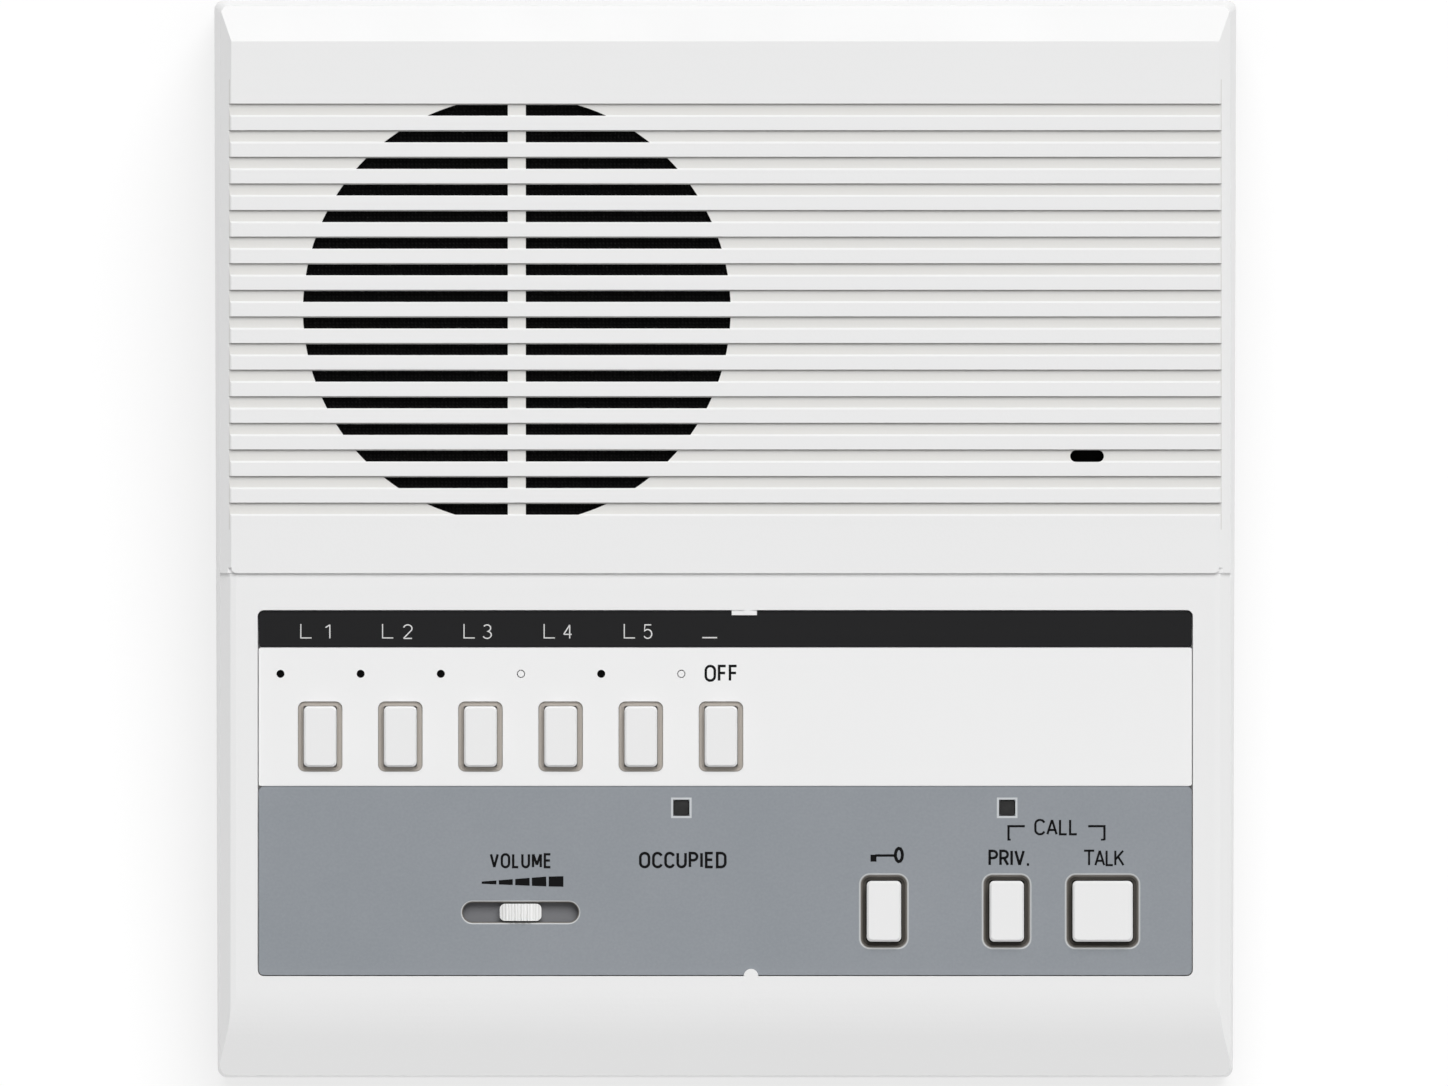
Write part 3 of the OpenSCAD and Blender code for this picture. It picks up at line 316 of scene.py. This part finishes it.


def paint_groove_shade(material):
    """Painted shade in the louvre: a groove's floor rises toward its front edge, so the painted
    shade goes by depth, darkest and warmest along the deep rear edge."""
    tree = material.node_tree
    shader = tree.nodes["Principled BSDF"]
    unshaded = shader.inputs["Base Color"].links[0].from_socket
    place = add(tree, "ShaderNodeTexCoord").outputs["Object"]
    u, v, w = [face_coordinate(tree, place, way) for way in (ACROSS, UP_FACE, OUT_OF_FACE)]
    across = add(tree, "ShaderNodeMath", {0: u}, operation="ABSOLUTE").outputs[0]
    limits = [(across, "LESS_THAN", LOUVRE_SIDE), (v, "GREATER_THAN", LOUVRE_FRONT),
              (v, "LESS_THAN", LOUVRE_REAR), (w, "GREATER_THAN", UNSHADED_BELOW)]
    within = 1.0
    for value, side, limit in limits:
        test = add(tree, "ShaderNodeMath", {0: value, 1: limit}, operation=side).outputs[0]
        within = add(tree, "ShaderNodeMath", {0: test, 1: within}, operation="MULTIPLY").outputs[0]
    depth = add(tree, "ShaderNodeMapRange", {"Value": w, "From Min": UNSHADED_ABOVE,
                                             "From Max": GROOVE_FOOT})
    shade_ramp = add(tree, "ShaderNodeValToRGB", {"Fac": depth.outputs["Result"]})
    shades = shade_ramp.color_ramp.elements
    shades[0].color, shades[-1].color = linear(GROOVE_SHADES[0][1]), linear(GROOVE_SHADES[-1][1])
    for share, shade in GROOVE_SHADES[1:-1]:
        shades.new(share).color = linear(shade)
    tint = add(tree, "ShaderNodeMix", {"Factor": within, "A": unshaded, "B": shade_ramp.outputs["Color"]},
               data_type="RGBA", blend_type="MULTIPLY")
    set_sockets(tree, shader, {"Base Color": tint.outputs["Result"]})


white_abs = moulded("white_moulded_abs", "#F5F5F5", "#F3F3F3", 0.55, 0.008, 0.42)
# Painted shade darkens the louvre's grooves by depth, most along their deep rear edges.
paint_groove_shade(white_abs)
finish_node(white_abs, "front_case")


# ---- panel plates ----
# Three plates lie in the housing's recess: a satin black strip for the line names, a
# white plate for the line keys and a silver-grey lacquered one for the other controls.
LIP = -1.2  # level of the plates' outer face, mm out of the face's middle plane
HIGHLIGHT_EDGE = (0.003, 0.02)  # how far below that the painted highlight line starts and ends, mm
SHADE_EDGE = (0.045, 0.17)  # and that line turns to painted brown shade, mm


def lacquered(name, light, dark, flake, rough):
    """Sprayed silver-grey lacquer: a cool and a warm cloud drift through each other, under
    a fine sparkle of flake that is drawn coarser than the real one so that it shows. Round
    the openings, by depth below the face: a painted highlight line, then painted brown shade."""
    made, tree, shader, place = begin(name)
    cloud = add(tree, "ShaderNodeTexNoise", {"Vector": place, "Scale": per_mm(24), "Detail": 4,
                                             "Roughness": 0.6})
    tone = add(tree, "ShaderNodeMix", {"Factor": cloud.outputs["Fac"], "A": linear(light),
                                       "B": linear(dark)}, data_type="RGBA")
    specks = add(tree, "ShaderNodeTexNoise", {"Vector": place, "Scale": per_mm(0.5), "Detail": 2})
    spread = add(tree, "ShaderNodeMapRange", {"Value": specks.outputs["Fac"], "From Min": 0.3,
                                              "From Max": 0.7, "To Min": 1 - flake,
                                              "To Max": 1 + flake})
    speckled = add(tree, "ShaderNodeVectorMath", {0: tone.outputs["Result"],
                                                  "Scale": spread.outputs["Result"]},
                   operation="SCALE")
    relief = add(tree, "ShaderNodeBump", {"Height": specks.outputs["Fac"], "Strength": 0.5,
                                          "Distance": 0.00001})
    level = face_coordinate(tree, place, OUT_OF_FACE)
    paint = speckled.outputs["Vector"]
    # Painted highlight, then painted shade, on the rounded lips of the openings.
    for edge, most, colour in [(HIGHLIGHT_EDGE, 0.9, "#D2D4D4"), (SHADE_EDGE, 1.0, "#75706A")]:
        share = add(tree, "ShaderNodeMapRange", {"Value": level, "From Min": LIP - edge[0],
                                                 "From Max": LIP - edge[1], "To Max": most})
        painted_edge = add(tree, "ShaderNodeMix", {"Factor": share.outputs["Result"], "A": paint,
                                           "B": linear(colour)}, data_type="RGBA")
        paint = painted_edge.outputs["Result"]
    set_sockets(tree, shader, {
        "Base Color": paint, "Normal": relief.outputs["Normal"], "Roughness": rough,
        "Specular IOR Level": 0.4})
    return made


# The strip is an even satin black, the white plate a shade brighter than the housing, and
# the lacquer a cool grey that sparkles faintly, with a painted highlight and painted shade round
# its openings.
strip_black = moulded("satin_black_strip", "#141416", "#111113", 0.6, 0.005, 0.5, 0.2)
plate_white = moulded("white_key_plate", "#F8F8F8", "#F6F6F6", 0.6, 0.006, 0.45)
plate_grey = lacquered("silver_grey_lacquer", "#989CA2", "#8E949A", 0.03, 0.45)
finish_node(strip_black, "label_strip")
finish_node(plate_white, "selector_plate")
finish_node(plate_grey, "control_plate")


# ---- lamps ----
# Smoked acrylic pins cover the line lamps, two square windows the others; the places
# without a lamp have white pips. Light-emitting diodes wait behind each lens.
def smoked_acrylic(name, light, dark, shine):
    """Dark polished acrylic, nearly black from outside, with the faintest cast streaks."""
    made, tree, shader, place = begin(name)
    flow = add(tree, "ShaderNodeTexNoise", {"Vector": place, "Scale": per_mm(1.5), "Detail": 2})
    tone = add(tree, "ShaderNodeMix", {"Factor": flow.outputs["Fac"], "A": linear(light),
                                       "B": linear(dark)}, data_type="RGBA")
    set_sockets(tree, shader, {"Base Color": tone.outputs["Result"], "Roughness": 0.15,
                               "IOR": 1.49, "Specular IOR Level": shine})
    return made


# The pins look black and quiet, the windows show a dim grey depth with a sharp reflection.
pin_acrylic = smoked_acrylic("black_pin_acrylic", "#030303", "#070707", 0.08)
window_acrylic = smoked_acrylic("smoked_window_acrylic", "#1C1C1C", "#343434", 0.45)
diode_resin = moulded("red_diode_resin", "#A01F18", "#8C1913", 0.8, 0.005, 0.25, 0.5)
finish_node(pin_acrylic, "line_lamp_lenses")
finish_node(window_acrylic, "busy_lens", "call_lens")
finish_node(plate_white, "blanking_pips")
finish_node(diode_resin, "lamp_leds")


# ---- keys and volume knob ----
# Caps are moulded in glossy white ABS on cream stems, and the volume knob is ribbed. A pale
# collar of painted shade lies round each line key and a dark one round each of the three press
# keys, where the wells round the keys lie in shade.
def face_span(name):
    """Least u and v and greatest u and v, in face mm, of a CAD piece's vertices."""
    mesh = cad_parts[name].data
    places = np.empty(3 * len(mesh.vertices))
    mesh.vertices.foreach_get("co", places)
    p = (places.reshape(-1, 3) - FACE_POINT) * 1000
    u, v = p @ ACROSS, p @ UP_FACE
    return float(u.min()), float(v.min()), float(u.max()), float(v.max())


def ribbed(name, colour, shade, period, middle):
    """Moulded knob with painted shade for its fine ribs: even dark bands across, set out from
    the knob's middle."""
    made, tree, shader, place = begin(name)
    centred = add(tree, "ShaderNodeMapping", {"Vector": place, "Location": tuple(-middle)})
    bands = add(tree, "ShaderNodeTexWave", {"Vector": centred.outputs["Vector"],
                                            "Scale": bands_per_mm(period), "Distortion": 0.6,
                                            "Detail": 1}, bands_direction="X")
    tone = add(tree, "ShaderNodeMix", {"Factor": bands.outputs["Fac"], "A": linear(shade),
                                       "B": linear(colour)}, data_type="RGBA")
    relief = add(tree, "ShaderNodeBump", {"Height": bands.outputs["Fac"], "Strength": 0.6,
                                          "Distance": 0.0001})
    set_sockets(tree, shader, {
        "Base Color": tone.outputs["Result"], "Normal": relief.outputs["Normal"],
        "Roughness": 0.35, "Specular IOR Level": 0.4})
    return made


def console_piece(name, material, corners, faces):
    """A new piece fixed to the console, from its corners in face mm and its faces."""
    mesh = bpy.data.meshes.new(name)
    mesh.from_pydata(on_face(corners).tolist(), [], faces.tolist())
    mesh.materials.append(material)
    piece = bpy.data.objects.new(name, mesh)
    bpy.context.collection.objects.link(piece)
    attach(piece, "console")
    return piece


CORNER = 1.3  # radius of the openings' corners, mm
CORNER_POINTS = 9
# Each collar's section, as (share of the gap from the opening's edge to the key, level in mm).
LINE_COLLAR = [(0.08, -1.6), (0.5, -1.6), (0.93, -1.28), (0.93, -2.6), (0, -2.6), (0, -2.2),
               (0.08, -2.2)]
PRESS_COLLAR = [(0, -2.2), (0.8, -2.6), (0.8, -3.2), (0, -3.2)]


def collars(name, material, keys, gap, section):
    """One ring round each key, in the gap (across, up) between the key and its opening. The
    section is (share, level): share runs from 0 at the opening's edge to 1 at the key. There
    the corner radius is r = CORNER - share * least gap, and a corner's point of angle a lies
    at the corner's centre plus r times (cos a, sin a)."""
    share, level = np.array(section).T[..., None]
    turn = np.linspace(0, 90, CORNER_POINTS)[None] + 90 * np.arange(4)[:, None]
    angle = np.radians(turn).ravel()
    sign_u, sign_v = np.repeat([[1, -1, -1, 1], [1, 1, -1, -1]], CORNER_POINTS, axis=1)
    radius = CORNER - share * min(gap)
    rings = []
    for key in keys:
        u0, v0, u1, v1 = face_span(key + "_cap")
        half_u, half_v = (u1 - u0) / 2 + gap[0] * (1 - share), (v1 - v0) / 2 + gap[1] * (1 - share)
        u = (u0 + u1) / 2 + sign_u * (half_u - radius) + radius * np.cos(angle)
        v = (v0 + v1) / 2 + sign_v * (half_v - radius) + radius * np.sin(angle)
        rings.append(np.stack([u, v, np.broadcast_to(level, u.shape)], 2).reshape(-1, 3))
    turns, steps = len(share), len(angle)
    i, j = np.arange(turns)[:, None], np.arange(steps)[None]
    row, next_row, next_j = i * steps, (i + 1) % turns * steps, (j + 1) % steps
    quads = np.stack([row + j, row + next_j, next_row + next_j, next_row + j], 2).reshape(-1, 4)
    faces = np.concatenate([quads + n * turns * steps for n in range(len(rings))])
    console_piece(name, material, np.concatenate(rings), faces)


LINE_KEYS = ["select_%d" % i for i in range(1, 6)] + ["off"]
PRESS_KEYS = ["door", "privacy", "talk"]
# The caps are smoother and shinier than the housing, the slider waxy, the collars matt, their greys
# painted shade.
key_white = moulded("white_key_abs", "#F5F5F5", "#F3F3F3", 0.6, 0.004, 0.36)
slider_acetal = moulded("grey_acetal_slider", "#7D7E81", "#747579", 0.8, 0.01, 0.5)
pale_shade_collar = moulded("pale_painted_shade_collar", "#B3ACA4", "#ABA49C", 0.6, 0.004, 0.5)
dark_shade_collar = moulded("dark_painted_shade_collar", "#5A5651", "#524F4A", 0.6, 0.004, 0.6)
knob_u0, knob_v0, knob_u1, knob_v1 = face_span("volume_knob")
knob_middle = on_face([(knob_u0 + knob_u1) / 2, (knob_v0 + knob_v1) / 2, LIP])
# The knob's dark bands are painted shade of fine ribs.
knob_white = ribbed("ribbed_white_knob_abs", "#FFFFFF", "#EAEAE8", 0.575, knob_middle)
finish_node(key_white, *[key + "_cap" for key in LINE_KEYS + PRESS_KEYS])
finish_node(part_cream, *[key + "_plunger" for key in LINE_KEYS + PRESS_KEYS])
finish_node(knob_white, "volume_knob")
finish_node(slider_acetal, "volume_slider")
# Collars of painted shade: a pale grey in the line keys' wells, a dark one in the press keys'.
collars("line_key_collars", pale_shade_collar, LINE_KEYS, (1.1, 0.9), LINE_COLLAR)
collars("press_key_collars", dark_shade_collar, PRESS_KEYS, (0.7, 0.7), PRESS_COLLAR)

# ---- printing ----
# The names of the line lamps and keys are screen printed in white ink on the black strip
# and in black ink on the two plates, in a plain narrow alphabet of even strokes.
INK = 0.03  # thickness of the ink, mm


def arc(x, y, rx, ry, start, end):
    """Points on an ellipse about x, y, from one angle to another in degrees."""
    a = np.radians(np.linspace(start, end, 12))
    return [tuple(q) for q in np.stack([x + rx * np.cos(a), y + ry * np.sin(a)], 1)]


BOWL = arc(0.24, 0.745, 0.26, 0.255, 90, -90)  # of P and R
ALPHABET = {  # width of each sign and its strokes, as parts of its height
    "A": (0.58, [[(0, 0), (0.29, 1)], [(0.29, 1), (0.58, 0)], [(0.09, 0.3), (0.49, 0.3)]]),
    "C": (0.54, [arc(0.29, 0.7, 0.29, 0.3, 20, 180) + arc(0.29, 0.3, 0.29, 0.3, 180, 340)]),
    "D": (0.56, [[(0, 0), (0, 1), (0.26, 1)] + arc(0.26, 0.7, 0.3, 0.3, 90, 0)
                 + arc(0.26, 0.3, 0.3, 0.3, 0, -90) + [(0, 0)]]),
    "E": (0.46, [[(0.46, 0), (0, 0), (0, 1), (0.46, 1)], [(0, 0.52), (0.42, 0.52)]]),
    "F": (0.44, [[(0, 0), (0, 1), (0.44, 1)], [(0, 0.52), (0.4, 0.52)]]),
    "I": (0.02, [[(0, 0), (0, 1)]]),
    "K": (0.54, [[(0, 0), (0, 1)], [(0.52, 1), (0, 0.38)], [(0.17, 0.6), (0.54, 0)]]),
    "L": (0.42, [[(0, 1), (0, 0), (0.42, 0)]]),
    "M": (0.64, [[(0, 0), (0, 1)], [(0.02, 1), (0.32, 0.18)], [(0.32, 0.18), (0.62, 1)],
                 [(0.64, 1), (0.64, 0)]]),
    "O": (0.6, [arc(0.3, 0.7, 0.3, 0.3, 0, 180) + arc(0.3, 0.3, 0.3, 0.3, 180, 360)
                + [(0.6, 0.7)]]),
    "P": (0.5, [[(0, 0), (0, 1), (0.24, 1)] + BOWL + [(0, 0.49)]]),
    "R": (0.52, [[(0, 0), (0, 1), (0.24, 1)] + BOWL + [(0, 0.49)], [(0.24, 0.49), (0.52, 0)]]),
    "T": (0.52, [[(-0.08, 1), (0.6, 1)], [(0.26, 1), (0.26, 0)]]),
    "U": (0.54, [[(0, 1)] + arc(0.27, 0.28, 0.27, 0.28, 180, 360) + [(0.54, 1)]]),
    "V": (0.56, [[(0, 1), (0.28, 0)], [(0.28, 0), (0.56, 1)]]),
    ".": (0.1, [[(-0.03, 0.03), (0.13, 0.03)]]),
    "1": (0.22, [[(0, 0.8), (0.2, 1)], [(0.2, 1), (0.2, 0)]]),
    "2": (0.5, [arc(0.25, 0.73, 0.25, 0.27, 165, -25) + [(0, 0)], [(0, 0), (0.5, 0)]]),
    "3": (0.5, [arc(0.24, 0.76, 0.22, 0.24, 150, -90) + arc(0.24, 0.26, 0.26, 0.26, 90, -155)]),
    "4": (0.56, [[(0.42, 0), (0.42, 1)], [(0.42, 1), (0, 0.3)], [(0, 0.3), (0.56, 0.3)]]),
    "5": (0.5, [[(0.46, 1), (0.07, 1), (0.03, 0.52)] + arc(0.24, 0.33, 0.26, 0.33, 130, -150)]),
}


def stroke(points, width):
    """A bar of ink along a path in the face: at each point the bar's left and right edges
    lie half the width away along the mitre of the two directions that meet there, and
    its top and foot lie half the ink's thickness above and below the plates' face. The
    width is one number, or one for each point of a bar that tapers."""
    p = np.asarray(points, float)
    p = p[np.r_[True, np.linalg.norm(np.diff(p, axis=0), axis=1) > 1e-6]]
    ahead = np.diff(p, axis=0)
    ahead /= np.linalg.norm(ahead, axis=1, keepdims=True)
    first, last = np.r_[ahead[:1], ahead], np.r_[ahead, ahead[-1:]]
    if np.allclose(p[0], p[-1]):
        first[0], last[-1] = ahead[-1], ahead[0]
    left = np.stack([-(first + last)[:, 1], (first + last)[:, 0]], 1)
    square = np.stack([-last[:, 1], last[:, 0]], 1)
    left /= np.maximum((left * square).sum(1, keepdims=True), 0.5)
    reach = left * np.broadcast_to(width, len(p))[:, None] / 2
    edges = np.stack([p + reach, p - reach], 1)
    rows = np.concatenate([edges, edges[:, ::-1]], 1)
    height = np.broadcast_to(LIP + INK * np.array([0.5, 0.5, -0.5, -0.5]), (len(p), 4))
    corners = np.concatenate([rows, height[..., None]], 2).reshape(-1, 3)
    i, k = np.arange(len(p) - 1)[:, None] * 4, np.arange(4)[None]
    sides = np.stack([i + k, i + (k + 1) % 4, i + 4 + (k + 1) % 4, i + 4 + k], 2).reshape(-1, 4)
    ends = [[3, 2, 1, 0], [4 * len(p) - 4 + n for n in range(4)]]
    return corners, np.concatenate([sides, ends])


def word(text, box, width, gap=0.32):
    """Bars of ink, width mm wide, of a word fitted to a box (u0, v0, u1, v1) in face mm: the
    signs stand side by side with the same gap between their outer edges, and their widths
    are scaled so that the word fills the box."""
    u0, v0, u1, v1 = box
    up = v1 - v0 - width
    room = u1 - u0 - width * len(text) - gap * (len(text) - 1)
    across = room / sum(ALPHABET[c][0] for c in text)
    bars, at = [], u0 + width / 2
    for c in text:
        span, lines = ALPHABET[c]
        bars += [([(at + x * across, v0 + width / 2 + y * up) for x, y in line], width)
                 for line in lines]
        at += span * across + width + gap
    return bars


def ink_piece(name, material, bars):
    """One printed piece from bars of ink [(points, width)], on the plates' outer face."""
    corners, faces, at = [], [], 0
    for points, width in bars:
        c, f = stroke(points, width)
        corners.append(c)
        faces.append(f + at)
        at += len(c)
    piece = console_piece(name, material, np.concatenate(corners), np.concatenate(faces))
    piece.data.validate()


# Screen ink dries to a thin even film, duller than what it is printed on.
white_ink = moulded("white_screen_ink", "#E4E4E3", "#DADADA", 0.3, 0.003, 0.6, 0.2)
black_ink = moulded("black_screen_ink", "#0B0B0D", "#080809", 0.3, 0.003, 0.55, 0.1)
grey_ink = moulded("pale_window_border", "#D2D5D8", "#C6CACD", 0.3, 0.003, 0.5, 0.3)

# Each line has a corner mark, from its top left down and across, and its figure.
MARK_TOP, MARK_FOOT, MARK_WIDE = -15.6, -18.2, 2.0
LINES = [("1", -79.2, -74.7, -73.6), ("2", -63.95, -60.15, -58.35), ("3", -48.75, -45.3, -43.55),
         ("4", -33.8, -30.25, -28.55), ("5", -18.85, -15.3, -13.6)]  # mark's and figure's u
strip_marks = [([(-4.28, -18.15), (-1.53, -18.15)], 0.24)]
for figure, mark, u0, u1 in LINES:
    strip_marks.append(([(mark, MARK_TOP), (mark, MARK_FOOT), (mark + MARK_WIDE, MARK_FOOT)], 0.2))
    strip_marks += word(figure, (u0, -18.4, u1, -15.65), 0.22)
ink_piece("strip_lettering", white_ink, strip_marks)

off_marks = word("OFF", (-3.88, -26.4, 2.35, -23.2), 0.48)
ink_piece("key_plate_lettering", black_ink, off_marks)

panel_marks = word("VOLUME", (-43.95, -61.2, -32.4, -58.35), 0.45)
panel_marks += word("OCCUPIED", (-16.1, -61.2, 0.25, -58.1), 0.5)
panel_marks += word("CALL", (57.65, -55.05, 65.8, -51.95), 0.42, 0.22)
panel_marks += word("PRIV.", (49.1, -60.8, 56.85, -57.7), 0.48, 0.2)
panel_marks += word("TALK", (66.95, -60.8, 74.5, -57.7), 0.4, 0.05)

# A bracket leads from each side of one word down to the keys that share it, and ends in a
# short foot: its corner, which way its arm points, and its foot's two ends.
ARM, BRACKET_TOP, BRACKET_END, FOOT_LEVEL = 3.05, -53.33, -55.95, -55.85
for corner, inward, foot in [(52.85, 1, (52.65, 53.25)), (70.75, -1, (70.1, 70.75))]:
    panel_marks.append(([(corner + ARM * inward, BRACKET_TOP), (corner, BRACKET_TOP),
                         (corner, BRACKET_END)], 0.42))
    panel_marks.append(([(u, FOOT_LEVEL) for u in foot], 0.34))

# Five bars that grow to the right stand for the loudness. Together they make one wedge,
# given by its height and the v of its middle at three places across.
BARS = [(-45.45, -42.7), (-42.25, -39.65), (-39.2, -36.5), (-36.1, -33.4), (-32.95, -30.2)]
WEDGE_U, WEDGE_HEIGHT = (-45.45, -33.4, -30.2), (0.42, 1.84, 1.98)
WEDGE_MIDDLE = (-63.87, -63.65, -63.65)
scale_bars = [(list(zip(ends, np.interp(ends, WEDGE_U, WEDGE_MIDDLE))),
               np.interp(ends, WEDGE_U, WEDGE_HEIGHT)) for ends in BARS]
ink_piece("volume_scale", black_ink, scale_bars)

# A small key is the sign of the door key.
bit = ([(27.1, -59.3), (28.2, -59.3)], 1.3)
shank = ([(28.0, -58.8), (31.8, -58.8)], 0.46)
bow = (arc(32.4, -58.7, 0.66, 1.25, 0, 360), 0.58)
ink_piece("door_sign", black_ink, [bit, shank, bow])

# ---- window borders ----
# A pale printed line frames each of the two square lamp windows, with a hair of black
# between it and the window's edge.
WINDOWS = [(-8.2, -49.9), (52.6, -49.9)]  # their middles
BORDERS = [(1.72, 0.4), (1.46, 0.12)]  # half side and width of the pale and the black line, mm
pale_lines, black_lines = [
    [([(u + half * a, v + half * b) for a, b in SQUARE + SQUARE[:1]], width) for u, v in WINDOWS]
    for half, width in BORDERS]
ink_piece("window_borders", grey_ink, pale_lines)
ink_piece("panel_lettering", black_ink, panel_marks + black_lines)
